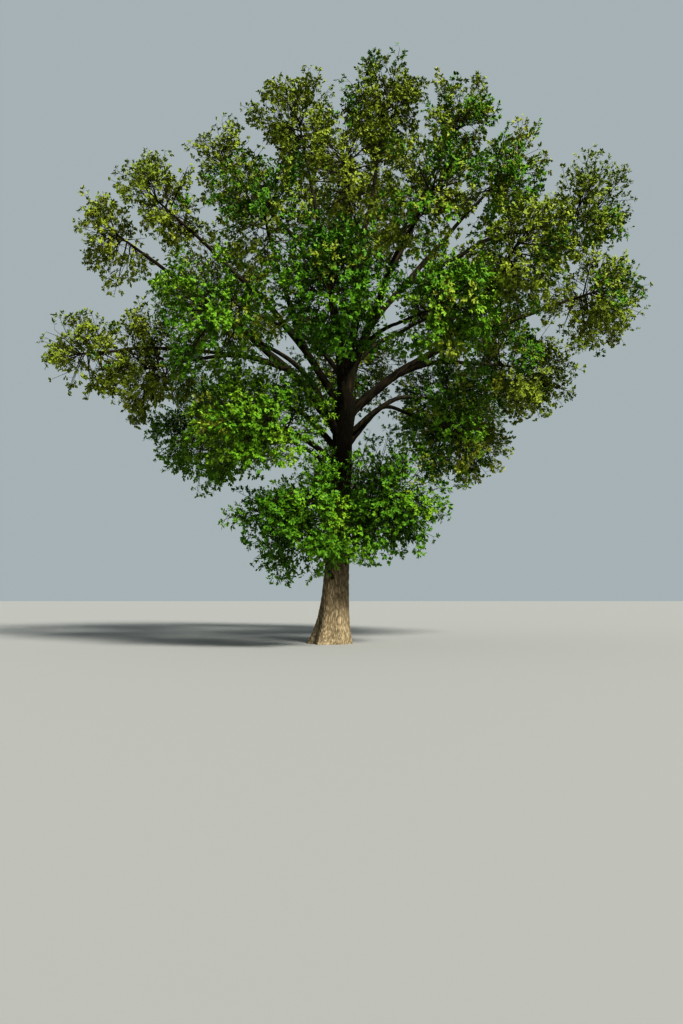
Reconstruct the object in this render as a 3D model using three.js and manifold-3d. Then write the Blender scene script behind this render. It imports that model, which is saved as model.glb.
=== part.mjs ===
// A mature open-grown oak in spring leaf: trunk, boughs and masses of foliage.
// Lengths are in metres and become millimetres in mm(). +Z is up, +X is to the right and +Y goes away from
// someone who faces the tree. The origin is at ground level, on the flat cut under the trunk.
import * as THREE from "three";
import { ConvexGeometry } from "three/addons/geometries/ConvexGeometry.js";
import { mergeVertices } from "three/addons/utils/BufferGeometryUtils.js";
import Module from "manifold-3d";

const wasm = await Module();
wasm.setup();

// Trunk
const TRUNK_HEIGHT = 9.0;
const TRUNK_FOOT_X = 0.1;
const TRUNK_LEAN = 0.042;
const TRUNK_RADIUS = 0.46;
const TRUNK_TAPER = 0.0135;
const FLARE_REACH = 0.285;
const FLARE_TO_LEFT = 0.115;
const FLARE_HEIGHT = 0.8;
const ROOT_LOBES = 6;
const ROOT_LOBE_SHARE = 0.3;
const ROOT_LOBE_TURN = 0.6;
const FORK_HEIGHT = 8.3;
const FORK_SWELL = 0.1;
const FORK_SWELL_HEIGHT = 0.6;
const CROTCH_HEIGHT = 0.55;
const CROTCH_CLOSING = 0.9;
const TRUNK_SIDES = 20;
const TRUNK_STEPS = 14;

// Boughs
const BOUGH_SIDES = 7;
const BOUGH_STEPS = 5;
const BOUGH_TAPER = 1.2;
const BOUGH_TIP_RADIUS = 0.055;
const COLLAR_SHARE = 0.45;
const COLLAR_LENGTH = 0.07;
const LEAVING_TURN = 0.35;
const LEAVING_LENGTH = 0.38;
const ARRIVING_LENGTH = 0.3;
const ENTRY_SHARE = 0.62;
const CLEARANCE = 0.0003;

// Corners of one solid that lie closer than this are one corner.
const WELD_DISTANCE = 1e-6;

// Stem and twigs of a mass
const STEM_ROOT_RADIUS = 0.048;
const STEM_END_RADIUS = 0.04;
const STEM_BEYOND_MIDDLE = 0.3;
const TWIGS = 7;
const TWIG_ROOT_RADIUS = 0.026;
const TWIG_END_RADIUS = 0.018;
const TWIG_FIRST_ROOT = 0.97;
const TWIG_LAST_ROOT = 0.3;
const LEAD_OUTWARD = 2;
const FORWARD_MOST = 1;
const BACKWARD_MOST = -0.2;
const GOLDEN_ANGLE = Math.PI * (3 - Math.sqrt(5));
const ROUND_WANDER = 0.6;

// Masses of foliage
const CROWN_MIDDLE = new THREE.Vector3(0.4, 0.6, 11);
const FULLNESS = 1.25;
const FULL_REACH = 1.03;

// Sprays of leaves. Their length is a share of the mass's mean half size, and the rest are shares of that length.
const SPRAY_SHARE = 0.76;
const SPRAY_WIDTH = 0.62;
const SPRAY_THICKNESS = 0.05;
const SPRAY_WIDEST = 0.55;
const SPRAY_SPREAD = 0.95;
const SPRAY_SUNK = 0.06;
const SIDE_SPRAYS = [0.9, 0.6, 0.35];
const FITTING_SIZES = [1, 0.84, 0.7, 0.56, 0.42];
const SPACE_EASE = 1.05;
const SPACE_MARGIN = 0.012;

// How far an ellipsoid of half sizes reaches from its middle in a direction.
function reachOf([a, b, c], direction) {
  return 1 / Math.hypot(direction.x / a, direction.y / b, direction.z / c);
}

// A mass of foliage: its name, the middle and the half sizes along X, Y and Z of the lump that it makes on the
// outside of the crown, and where its wood leaves the tree. The mass is wider than its lump, and spreads inward
// from there.
function mass(name, lumpAt, lumpHalf, root) {
  const outward = new THREE.Vector3(...lumpAt).sub(CROWN_MIDDLE).normalize();
  const inward = (FULLNESS - 1) * reachOf(lumpHalf, outward);
  const at = new THREE.Vector3(...lumpAt).addScaledVector(outward, -inward).toArray();
  const half = lumpHalf.map((size) => size * FULLNESS);
  return { name, at, half, outward, ...root };
}

// A place on a limb: the mass whose bough it is, or the trunk, and the share of the way along it. thick is the
// radius of the bough that leaves there, and arch how far that bough rises above a straight line. Without them
// the mass grows straight from the trunk.
function from(on, share, thick, arch) {
  return { on, share, thick, arch };
}

const CROWN = [
  mass("left_tip_mid", [-8.0, 0.0, 14.8], [1.35, 2.1, 1.85], from("trunk", 0.8, 0.16, -0.6)),
  mass("left_low", [-6.3, -1.6, 9.3], [1.8, 2.4, 1.9], from("left_tip_mid", 0.32, 0.12, 0.2)),
  mass("left_tip_low", [-9.1, 0.0, 10.3], [1.45, 1.9, 1.35], from("left_low", 0.55, 0.07, 0.2)),
  mass("left_high", [-6.45, -0.2, 16.0], [1.8, 2.1, 1.7], from("trunk", 0.9, 0.145, -0.2)),
  mass("left_shoulder", [-3.8, 0.0, 17.4], [1.7, 2.1, 1.75], from("top_left", 0.45, 0.1, 0.1)),
  mass("top_left", [-1.2, 0.1, 19.1], [2.0, 2.1, 1.8], from("trunk", 0.93, 0.165, -0.3)),
  mass("top", [2.1, 0.4, 20.1], [1.9, 2.0, 1.9], from("trunk", 0.95, 0.185, 0.1)),
  mass("top_right", [4.7, 0.2, 19.2], [1.6, 2.1, 1.9], from("trunk", 0.94, 0.175, -0.3)),
  mass("right_shoulder", [6.6, 0.0, 17.3], [1.8, 2.1, 1.9], from("top_right", 0.3, 0.125, -0.3)),
  mass("right_high", [9.45, 0.0, 15.6], [1.6, 2.2, 2.0], from("right_shoulder", 0.3, 0.095, 0.2)),
  mass("right_tip", [9.75, 0.0, 12.6], [1.8, 2.4, 1.9], from("trunk", 0.88, 0.18, -0.3)),
  mass("right_low", [7.1, 0.2, 9.8], [2.1, 2.4, 1.8], from("right_tip", 0.28, 0.12, 0.1)),
  mass("low_right", [5.0, 1.8, 7.5], [2.0, 2.3, 1.8], from("trunk", 0.8, 0.1, 0.5)),
  mass("front_right_high", [6.1, -4.0, 12.5], [1.9, 2.1, 1.8], from("right_tip", 0.5, 0.1, 0.2)),
  mass("front_high", [3.2, -4.4, 14.2], [1.9, 2.1, 1.9], from("top_right", 0.28, 0.11, 0.3)),
  mass("front_left_high", [-2.2, -4.6, 13.4], [2.0, 2.2, 1.8], from("left_high", 0.3, 0.11, 0.4)),
  mass("front_left", [-3.7, -4.6, 10.1], [2.0, 2.1, 2.2], from("trunk", 0.78, 0.12, 0.4)),
  mass("front", [0.1, -6.4, 10.3], [2.1, 2.1, 1.9], from("trunk", 0.87, 0.15, 0.7)),
  mass("front_right", [3.3, -5.2, 10.2], [1.9, 2.0, 1.7], from("front", 0.3, 0.1, 0.2)),
  mass("low_left", [-4.9, 1.0, 7.4], [2.0, 2.3, 2.1], from("trunk", 0.66, 0.12, 0.4)),
  mass("low_front_left", [-2.0, -4.6, 6.3], [2.4, 2.1, 2.1], from("trunk", 0.5, 0.1, 0.4)),
  mass("low_front", [-1.0, -3.7, 4.1], [2.3, 1.9, 2.2], from("trunk", 0.22)),
  mass("low_front_right", [1.9, -1.6, 4.5], [1.9, 1.8, 2.0], from("trunk", 0.25)),
  mass("front_top", [0.6, -2.8, 16.1], [1.9, 2.0, 2.0], from("top", 0.3, 0.1, 0.1)),
  mass("back_low", [0.9, 4.6, 5.6], [2.4, 2.1, 2.0], from("trunk", 0.4)),
  mass("back_left_low", [-4.4, 5.6, 9.4], [2.5, 2.4, 2.1], from("trunk", 0.7, 0.13, 0.4)),
  mass("back_right_low", [5.4, 5.8, 9.8], [2.5, 2.4, 2.1], from("trunk", 0.74, 0.13, 0.4)),
  mass("back", [0.6, 7.6, 12.0], [2.6, 2.2, 2.3], from("trunk", 0.89, 0.16, 0.3)),
  mass("back_left", [-4.7, 4.5, 14.0], [2.5, 2.5, 2.3], from("back", 0.32, 0.115, 0.3)),
  mass("back_right", [6.0, 4.7, 14.0], [2.5, 2.5, 2.3], from("back", 0.4, 0.115, 0.3)),
  mass("back_high", [1.0, 4.4, 17.5], [2.9, 2.3, 2.2], from("top", 0.35, 0.11, 0.2)),
];

const mm = (metres) => metres * 1000;
const point = ([x, y, z]) => new THREE.Vector3(mm(x), mm(y), mm(z));
const mix = THREE.MathUtils.lerp;

// A run of numbers from 0 to 1 that is the same each time for one seed.
function randomFrom(seed) {
  let state = seed >>> 0;
  return () => {
    state = (state + 0x6d2b79f5) >>> 0;
    let t = Math.imul(state ^ (state >>> 15), state | 1);
    t = (t + Math.imul(t ^ (t >>> 7), t | 61)) ^ t;
    return ((t ^ (t >>> 14)) >>> 0) / 4294967296;
  };
}

// A closed three.js geometry as a solid.
function solidOf(geometry) {
  geometry.deleteAttribute("normal");
  geometry.deleteAttribute("uv");
  const merged = mergeVertices(geometry, mm(WELD_DISTANCE));
  const mesh = new wasm.Mesh({
    numProp: 3,
    vertProperties: new Float32Array(merged.attributes.position.array),
    triVerts: new Uint32Array(merged.index.array),
  });
  return new wasm.Manifold(mesh);
}

// A solid as a three.js geometry.
function geometryOf(solid) {
  const { numProp, numVert, vertProperties, triVerts } = solid.getMesh();
  const places = new Float32Array(numVert * 3);
  for (let i = 0; i < numVert; i++) places.set(vertProperties.subarray(i * numProp, i * numProp + 3), i * 3);
  const geometry = new THREE.BufferGeometry();
  geometry.setAttribute("position", new THREE.BufferAttribute(places, 3));
  geometry.setIndex(new THREE.BufferAttribute(new Uint32Array(triVerts), 1));
  geometry.computeVertexNormals();
  return geometry;
}

// The largest body of a solid, without the scraps that a cut leaves.
function largestOf(solid) {
  return solid.decompose().reduce((a, b) => (a.volume() > b.volume() ? a : b));
}

// Two directions square to one another and to a third.
function acrossOf(direction) {
  const level = Math.abs(direction.z) > 0.99 ? new THREE.Vector3(1, 0, 0) : new THREE.Vector3(0, 0, 1);
  const side = new THREE.Vector3().crossVectors(direction, level).normalize();
  return { side, lift: new THREE.Vector3().crossVectors(side, direction) };
}

// Middle of the trunk at a height.
const trunkX = (height) => TRUNK_FOOT_X + TRUNK_LEAN * height;

// The trunk's middle line as a curve, for boughs and stems to start from.
const TRUNK_LINE = new THREE.LineCurve3(
  point([trunkX(0), 0, 0]),
  point([trunkX(TRUNK_HEIGHT), 0, TRUNK_HEIGHT]),
);

// Radius of the trunk at a height and an angle round it. The roots flare out as lobes, most to the left, and the
// trunk swells at the fork and closes above it.
function trunkRadius(height, angle) {
  const lobe = 1 + ROOT_LOBE_SHARE * Math.cos(ROOT_LOBES * angle + ROOT_LOBE_TURN);
  const flare = (FLARE_REACH - FLARE_TO_LEFT * Math.cos(angle)) * lobe * Math.exp(-height / FLARE_HEIGHT);
  const swell = FORK_SWELL * Math.exp(-(((height - FORK_HEIGHT) / FORK_SWELL_HEIGHT) ** 2));
  const closing = Math.max(0, (height - (TRUNK_HEIGHT - CROTCH_HEIGHT)) / CROTCH_HEIGHT);
  return (TRUNK_RADIUS - TRUNK_TAPER * height + flare + swell) * Math.sqrt(1 - CROTCH_CLOSING * closing ** 2);
}

// The trunk's solid, its wall moved out by grow. Its rings lie closer together near the flare and the crotch.
function trunkSolid(grow) {
  const tube = new THREE.CylinderGeometry(1, 1, 1, TRUNK_SIDES, TRUNK_STEPS);
  const places = tube.attributes.position;
  for (let i = 0; i < places.count; i++) {
    const share = places.getY(i) + 0.5;
    const height = (TRUNK_HEIGHT * (1 - Math.cos(Math.PI * share))) / 2;
    const angle = Math.atan2(places.getZ(i), places.getX(i));
    const out = Math.hypot(places.getX(i), places.getZ(i)) * (trunkRadius(height, angle) + grow);
    const x = trunkX(height) + out * Math.cos(angle);
    const z = share === 1 ? height + grow : height;
    places.setXYZ(i, mm(x), mm(-out * Math.sin(angle)), mm(z));
  }
  return solidOf(tube);
}

// How far a mass reaches from its middle in a direction, in millimetres.
function reachAlong(row, direction) {
  return mm(reachOf(row.half, direction));
}

// The curve of a row's bough, from its parent's middle line to where it enters its mass, and how it heads there.
function boughCurve(row, parent) {
  const root = parent.getPointAt(row.share);
  const centre = point(row.at);
  const straight = centre.clone().sub(root);
  const leave = straight.clone().normalize().lerp(parent.getTangentAt(row.share), LEAVING_TURN).normalize();
  const knee = root.clone().addScaledVector(leave, straight.length() * LEAVING_LENGTH);
  knee.z += mm(row.arch);
  const heading = centre.clone().sub(knee).normalize();
  const tip = centre.clone().addScaledVector(heading, -ENTRY_SHARE * reachAlong(row, heading));
  const turn = tip.clone().addScaledVector(heading, -straight.length() * ARRIVING_LENGTH);
  return { curve: new THREE.CubicBezierCurve3(root, knee, turn, tip), tip, heading };
}

// Radius of a row's bough at a share of its length. One that leaves the trunk has a collar at its root.
function boughRadius(row, share) {
  const collar = row.on === "trunk" ? COLLAR_SHARE * row.thick * Math.exp(-share / COLLAR_LENGTH) : 0;
  return mix(row.thick, BOUGH_TIP_RADIUS, share ** BOUGH_TAPER) + collar;
}

// The solid of a row's bough along its curve, its wall moved out by grow and its end by as much.
function boughSolid(row, curve, grow) {
  const tube = new THREE.CylinderGeometry(1, 1, 1, BOUGH_SIDES, BOUGH_STEPS);
  const frames = curve.computeFrenetFrames(BOUGH_STEPS, false);
  const places = tube.attributes.position;
  const place = new THREE.Vector3();
  for (let i = 0; i < places.count; i++) {
    const step = Math.round((places.getY(i) + 0.5) * BOUGH_STEPS);
    const share = step / BOUGH_STEPS;
    const radius = mm(boughRadius(row, share) + grow);
    place.copy(curve.getPointAt(share));
    place.addScaledVector(frames.normals[step], -radius * places.getX(i));
    place.addScaledVector(frames.binormals[step], radius * places.getZ(i));
    if (step === BOUGH_STEPS) place.addScaledVector(frames.tangents[step], mm(grow));
    places.setXYZ(i, place.x, place.y, place.z);
  }
  return solidOf(tube);
}

// A closed body with flat faces round a few corners.
function hullOf(corners) {
  return solidOf(new ConvexGeometry(corners));
}

// The way that a side of a three-sided twig faces, or for a half number the way to one of its edges.
function twigFace(direction, number) {
  const { side, lift } = acrossOf(direction);
  const angle = (2 * Math.PI * number) / 3;
  return side.multiplyScalar(Math.cos(angle)).addScaledVector(lift, Math.sin(angle));
}

// The corners of a tapering three-sided twig.
function twigCorners(start, end, startRadius, endRadius) {
  const direction = end.clone().sub(start).normalize();
  const ringAt = (middle, radius) =>
    [0.5, 1.5, 2.5].map((edge) => middle.clone().addScaledVector(twigFace(direction, edge), mm(radius)));
  return [...ringAt(start, startRadius), ...ringAt(end, endRadius)];
}

// The corners of a spray of leaves of one length: a thin kite that widens towards fan, folded along its middle.
function sprayCorners(root, direction, fan, length) {
  const fold = new THREE.Vector3().crossVectors(direction, fan).normalize();
  const wide = new THREE.Vector3().crossVectors(fold, direction);
  const widest = root.clone()
    .addScaledVector(direction, length * SPRAY_WIDEST)
    .addScaledVector(fold, length * SPRAY_THICKNESS);
  return [
    root,
    root.clone().addScaledVector(direction, length),
    widest.clone().addScaledVector(wide, (length * SPRAY_WIDTH) / 2),
    widest.clone().addScaledVector(wide, (-length * SPRAY_WIDTH) / 2),
  ];
}

const meanHalf = (row) => Math.cbrt(row.half[0] * row.half[1] * row.half[2]);
const distance = (a, b) => Math.hypot(a[0] - b[0], a[1] - b[1], a[2] - b[2]);

// Whether a place lies in a mass's own space: inside its ellipsoid, and on its own side of the plane between it and
// each other mass, so that no two masses meet.
function inSpace(row, place) {
  const at = [place.x / 1000, place.y / 1000, place.z / 1000];
  const power = (other) => distance(at, other.at) ** 2 - meanHalf(other) ** 2;
  const margin = (other) => 2 * SPACE_MARGIN * distance(row.at, other.at);
  const out = Math.hypot(...at.map((value, i) => (value - row.at[i]) / row.half[i]));
  return out < SPACE_EASE && CROWN.every((other) => other === row || power(row) + margin(other) < power(other));
}

// The mass of one row: a stem from its bough's tip or from the trunk, twigs round it, most of them towards the
// outside of the crown, and sprays of leaves on them. A twig ends in a spray whose point lies on the outside of the
// mass, and others stand out from its sides. What would leave the mass's space, or touch a limb or another spray,
// is made smaller or left out.
function massSolid(row, root, heading, limbs) {
  const random = randomFrom(1 + CROWN.indexOf(row));
  const lead = heading.clone().addScaledVector(row.outward, LEAD_OUTWARD).normalize();
  const { side, lift } = acrossOf(lead);
  const centre = point(row.at);
  const stemEnd = centre.clone().addScaledVector(heading, STEM_BEYOND_MIDDLE * reachAlong(row, heading));
  const wood = [hullOf(twigCorners(root, stemEnd, STEM_ROOT_RADIUS, STEM_END_RADIUS))];
  const sprays = [];
  const sprayLength = mm(SPRAY_SHARE * meanHalf(row));

  const clear = (corners) => {
    if (!corners.every((corner) => inSpace(row, corner))) return null;
    const piece = hullOf(corners);
    return [limbs, ...sprays].every((other) => piece.intersect(other).isEmpty()) ? piece : null;
  };

  const growSideSpray = (start, direction, first) => {
    for (const size of FITTING_SIZES)
      for (let turn = 0; turn < 3; turn++) {
        const out = twigFace(direction, first + turn);
        const blade = direction.clone().addScaledVector(out, SPRAY_SPREAD).normalize();
        const spray = clear(sprayCorners(start, blade, out, sprayLength * size));
        if (spray) {
          sprays.push(spray);
          return;
        }
      }
  };

  const growTwig = (start, outside, first) => {
    const direction = outside.clone().sub(start).normalize();
    for (const size of FITTING_SIZES) {
      const length = Math.max(start.distanceTo(outside) * size - sprayLength, mm(SPRAY_SUNK * 2));
      const end = start.clone().addScaledVector(direction, length);
      const sunkEnd = end.clone().addScaledVector(direction, mm(SPRAY_SUNK));
      const spray = clear(sprayCorners(end, direction, twigFace(direction, first), sprayLength));
      const twig = spray && clear(twigCorners(start, sunkEnd, TWIG_ROOT_RADIUS, TWIG_END_RADIUS));
      if (!twig) continue;
      wood.push(twig);
      sprays.push(spray);
      SIDE_SPRAYS.forEach((share, order) =>
        growSideSpray(start.clone().lerp(end, share), direction, first + order + 1),
      );
      return;
    }
  };

  for (let i = 0; i < TWIGS; i++) {
    const along = i / (TWIGS - 1);
    const forward = mix(FORWARD_MOST, BACKWARD_MOST, along);
    const round = i * GOLDEN_ANGLE + ROUND_WANDER * random();
    const out = Math.sqrt(1 - forward ** 2);
    const aim = lead.clone().multiplyScalar(forward)
      .addScaledVector(side, out * Math.cos(round))
      .addScaledVector(lift, out * Math.sin(round));
    const start = root.clone().lerp(stemEnd, mix(TWIG_FIRST_ROOT, TWIG_LAST_ROOT, along));
    const outside = centre.clone().addScaledVector(aim, FULL_REACH * reachAlong(row, aim));
    growTwig(start, outside, Math.floor(3 * random()));
  }
  return wasm.Manifold.union([...wood, ...sprays]);
}

const BARK = new THREE.MeshStandardMaterial({ name: "bark", color: 0x6e5b47, roughness: 0.95, metalness: 0 });
const FOLIAGE = new THREE.MeshStandardMaterial({ name: "foliage", color: 0x5d7420, roughness: 0.75 });

const tree = new THREE.Group();

function addNode(name, solid, material) {
  const mesh = new THREE.Mesh(geometryOf(solid), material.clone());
  mesh.name = name;
  tree.add(mesh);
}

// The boughs, the thickest first, each cut clear of the trunk and of those before it. Returns each one's curve,
// tip and heading, and all the limbs grown by the clearance.
function growBoughs() {
  const boughs = new Map();
  const waiting = CROWN.filter((row) => row.thick).sort((a, b) => b.thick - a.thick);
  let limbs = trunkSolid(CLEARANCE);
  while (waiting.length) {
    const next = waiting.findIndex((row) => row.on === "trunk" || boughs.has(row.on));
    const [row] = waiting.splice(next, 1);
    const shape = boughCurve(row, row.on === "trunk" ? TRUNK_LINE : boughs.get(row.on).curve);
    const solid = largestOf(boughSolid(row, shape.curve, 0).subtract(limbs));
    limbs = limbs.add(boughSolid(row, shape.curve, CLEARANCE));
    boughs.set(row.name, shape);
    addNode("bough_" + row.name, solid, BARK);
  }
  return { boughs, limbs };
}

// A mass on its bough's tip, clear of it by the gap.
function growMassOnBough(row, { tip, heading }, limbs) {
  const root = tip.clone().addScaledVector(heading, mm(CLEARANCE));
  addNode("leaves_" + row.name, massSolid(row, root, heading, limbs), FOLIAGE);
}

// A mass whose stem starts inside the trunk and is then cut clear of it.
function growMassOnTrunk(row, limbs) {
  const root = TRUNK_LINE.getPointAt(row.share);
  const heading = point(row.at).sub(root).normalize();
  const solid = massSolid(row, root, heading, limbs);
  addNode("leaves_" + row.name, largestOf(solid.subtract(trunkSolid(CLEARANCE))), FOLIAGE);
}

addNode("trunk", trunkSolid(0), BARK);
const { boughs, limbs } = growBoughs();
for (const row of CROWN) {
  const bough = boughs.get(row.name);
  if (bough) growMassOnBough(row, bough, limbs);
  else growMassOnTrunk(row, limbs);
}

export default tree;
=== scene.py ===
"""The looks of a mature open-grown oak in spring leaf. Lengths are in metres, +Z is up and +X is to the right. The
origin is at ground level, on the flat cut under the trunk."""

import math

import bpy
import numpy as np
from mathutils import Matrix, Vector, noise


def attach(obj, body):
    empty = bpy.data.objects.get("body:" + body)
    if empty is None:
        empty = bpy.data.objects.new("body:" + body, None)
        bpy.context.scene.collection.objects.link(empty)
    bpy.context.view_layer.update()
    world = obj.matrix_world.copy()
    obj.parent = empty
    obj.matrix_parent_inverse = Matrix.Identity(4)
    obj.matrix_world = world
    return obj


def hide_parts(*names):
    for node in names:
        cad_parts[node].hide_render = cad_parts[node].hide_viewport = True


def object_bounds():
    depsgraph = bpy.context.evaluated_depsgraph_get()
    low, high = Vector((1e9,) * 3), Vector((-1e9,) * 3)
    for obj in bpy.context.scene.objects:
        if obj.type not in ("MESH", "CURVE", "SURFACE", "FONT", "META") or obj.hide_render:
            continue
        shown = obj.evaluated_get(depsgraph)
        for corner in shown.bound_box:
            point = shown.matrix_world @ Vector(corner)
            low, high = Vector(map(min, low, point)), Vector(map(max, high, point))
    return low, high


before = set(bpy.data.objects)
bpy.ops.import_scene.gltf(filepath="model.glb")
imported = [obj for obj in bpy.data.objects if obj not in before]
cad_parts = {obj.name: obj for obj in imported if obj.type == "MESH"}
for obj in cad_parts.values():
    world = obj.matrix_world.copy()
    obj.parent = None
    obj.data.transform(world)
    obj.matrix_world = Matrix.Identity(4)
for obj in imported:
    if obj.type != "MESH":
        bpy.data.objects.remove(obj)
CAD_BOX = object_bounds()
# Without a seed, noise_vector's offsets are different in each run.
noise.seed_set(1)

# Camera, at eye height on the field in front of the tree. Its pitch is in degrees, and lens and sensor are in mm.
CAMERA_PLACE = (0.37, -29.0, 1.6)
CAMERA_PITCH = 5.87
CAMERA_LENS = 29.1
CAMERA_SENSOR = 36
CAMERA_FAR = 1000

# Light. The sun stands to the front right, and is SUN_WIDTH degrees wide for soft shadows.
SUN_FROM = (0.42, -0.62, 0.62)
SUN_STRENGTH = 6.2
SUN_WIDTH = 16
SUN_COLOUR = (1, 0.98, 0.92)
SKY_STRENGTH = 0.4
SKY_COLOUR = (0.8, 0.9, 0.93, 1)

# Floor
FLOOR_REACH = 300
FLOOR_COLOUR = (0.25, 0.25, 0.24, 1)
FLOOR_ROUGHNESS = 0.9

# Trunk. Its rings stand closer together toward the ground.
TRUNK_HEIGHT = 9.0
TRUNK_FOOT_X = 0.1
TRUNK_LEAN = 0.042
TRUNK_RADIUS = 0.46
TRUNK_TAPER = 0.0135
FLARE_REACH = 0.285
FLARE_TO_LEFT = 0.115
FLARE_HEIGHT = 0.8
ROOT_LOBES = 6
ROOT_LOBE_SHARE = 0.3
ROOT_LOBE_TURN = 0.6
FORK_HEIGHT = 8.3
FORK_SWELL = 0.1
FORK_SWELL_HEIGHT = 0.6
CROTCH_HEIGHT = 0.55
CROTCH_CLOSING = 0.9
TRUNK_SIDES = 180
TRUNK_STEPS = 200
RING_CROWDING = 1.35

# Boughs. Lengths along a bough are shares of its own length. CROOK and CROOK_LENGTH, which are in metres, say how far
# it bends and over what length, and CROOKS_APART makes each bough bend in its own way.
BOUGH_SIDES = 14
BOUGH_STEPS = 48
LINE_PLACES = 201
HEADING_STEP = 0.01
BOUGH_TAPER = 1.2
BOUGH_TIP_RADIUS = 0.055
COLLAR_SHARE = 0.45
COLLAR_LENGTH = 0.07
LEAVING_TURN = 0.35
LEAVING_LENGTH = 0.38
ARRIVING_LENGTH = 0.3
ENTRY_SHARE = 0.62
CROOK = 0.2
CROOK_LENGTH = 2.2
CROOK_FULLNESS = 0.7
CROOKS_APART = 3.7

# Bark's relief. PLATE_WIDTH and FURROW_DEPTH are for the trunk. For a bough they are the least shares of that, and
# more by its radius.
PLATE_WIDTH = 0.055
LEAST_PLATE_SHARE = 0.35
PLATE_STRETCH = 5.5
PLATE_UNEVENNESS = 0.35
PLATE_UNEVENNESS_SCALE = 1.7
PLATE_TOP = 1.2
FURROW_DEPTH = 0.026
LEAST_FURROW_SHARE = 0.2
FURROW_SHARE = 0.4
BARK_WARP = 0.45
BARK_WARP_SCALE = 0.55
END_RELIEF = (0.5, 0.5)

# Bark's look. Between furrow and ridge, at FLANK_RELIEF, its colour is FLANK_SHARE of the way from the one's to the
# other's. As painted shade of the crown, the trunk darkens from the lower to the upper of its painted-shade heights,
# to its painted-shade tint times its colour.
TRUNK_COLOURS = {"furrow": (97, 86, 67), "ridge": (145, 131, 106), "worn": (167, 152, 127), "moss": (98, 96, 70)}
# The limbs' bark is darker than the trunk's, partly as painted shade of the crown over them and partly as greener,
# mossier bark.
LIMB_SHADED_COLOURS = {"furrow": (20, 18, 12), "ridge": (58, 51, 36), "worn": (88, 78, 56), "moss": (54, 60, 34)}
TWIG_COLOURS = {"furrow": (52, 44, 32), "ridge": (52, 44, 32), "worn": (66, 56, 40), "moss": (54, 58, 34)}
FLANK_RELIEF = 0.35
FLANK_SHARE = 0.6
RIDGE_RELIEF = 0.8
BARK_GLOSS = {"Roughness": 0.92, "Specular IOR Level": 0.2}
MOSS_PATCHES = {"Scale": 1.3, "Detail": 5}
MOSS_RANGE = (0.52, 0.7)
GRAIN = {"Scale": 28, "Detail": 6, "Roughness": 0.485}
GRAIN_RANGE = (0.3, 0.7)
GRAIN_SHADES = (0.72, 1.15)
GRAIN_BUMP = {"Strength": 0.6, "Distance": 0.012}
# Painted shade: the crown's shade on the upper trunk, darkening it between these two heights to this tint times its
# colour.
PAINTED_SHADE_HEIGHTS = (2, 6)
PAINTED_SHADE_TINT = (72, 74, 62)

# Stem and twigs of a mass, each kind with its places along it and its sides
STEM_ROOT_RADIUS = 0.052
STEM_END_RADIUS = 0.03
TRUNK_STEM_RADIUS = 0.075
STEM_BEYOND_MIDDLE = 0.3
STEM_PLACES, STEM_SIDES = 7, 8
TWIGS = 7
FINER_TWIGS = 18
FINER_OFFSET = 0.5
TWIG_ROOT_RADIUS = 0.028
TWIG_END_RADIUS = 0.013
TWIG_PLACES, TWIG_SIDES = 4, 5
TWIG_FACES = 3
SHORTEST_TWIG = 0.12
TWIG_FIRST_ROOT = 0.97
TWIG_LAST_ROOT = 0.3
LEAD_OUTWARD = 2
FORWARD_MOST = 1
BACKWARD_MOST = -0.2
FINER_BACKWARD_MOST = -0.9
GOLDEN_ANGLE = math.pi * (3 - math.sqrt(5))
ROUND_WANDER = 0.6

# Masses of foliage. A mass is FULLNESS times as large as the lump that shows, and its twigs aim FULL_REACH times
# as far as its outside.
CROWN_MIDDLE = np.array((0.4, 0.6, 11))
FULLNESS = 1.25
FULL_REACH = 1.03

# Sprays. Their length is a share of the mass's mean half size, and their width and depth are shares of that length.
# One stands at a twig's end and others at SIDE_SPRAYS along it. FITTING_SIZES are tried until a twig or spray fits.
SPRAY_SHARE = 0.76
FINER_SPRAY_SHARE = 0.52
SPRAY_WIDTH = 0.62
SPRAY_DEPTH = 0.4
SPRAY_SPREAD = 0.95
SIDE_SPRAYS = (0.9, 0.6, 0.35)
FITTING_SIZES = (1, 0.84, 0.7, 0.56, 0.42)
SPRAY_TWIG_RADIUS = 0.011
SPRAY_TWIG_END = 0.006
SPRAY_TWIG_PLACES, SPRAY_TWIG_SIDES = 3, 3

# A mass's own space: SPACE_EASE times its ellipsoid, SPACE_MARGIN clear of its neighbours' and BOX_EASE past the CAD
# box at most
SPACE_EASE = 1.05
SPACE_MARGIN = 0.012
BOX_EASE = 0.45

# Shoots of a spray, from its tip to its root. A spray as long as FULL_SPRAY has them all, and a shorter one fewer.
SHOOTS = 25
FULL_SPRAY = 2.05
SHOOT_ROOTS = (0.92, 0.12)
SHOOT_REACH = (0.8, 1.06)
SHOOT_RADIUS = 0.005
SHOOT_SIDES = 3

# Uneven outline and gaps of a mass's leaves. Each pair is for where no sky shows and where most does.
WAVE_LENGTH = 0.9
OUTLINE_WAVES = (0.08, 0.42)
GAP_LENGTH = 0.75
GAPS_BELOW = (-0.6, 0)
GAP_SHIFT = Vector((5, 2, 8))

# Leaves of a shoot
LEAVES = 10
LEAFY_SHARE = 0.5
LEAF_LENGTH = 0.128
LEAF_SIZES = (0.75, 1.15)
LEAF_CURL = 0.16
LEAF_SPREAD = (0.35, 1.5)
BLADE_JITTER = 0.3
LEAF_UPWARD = 0.7
LEAF_OFF_SPRAY = 0.7
LEAF_OUTWARD = 0.6
LEAF_JITTER = 0.2

# Leaves keep LIMB_GAP clear of the limbs within LIMBS_NEAR of their mass, at CLEARED_PLACES along each.
LIMB_GAP = 0.03
LIMBS_NEAR = 1
CLEARED_PLACES = 60

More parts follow.
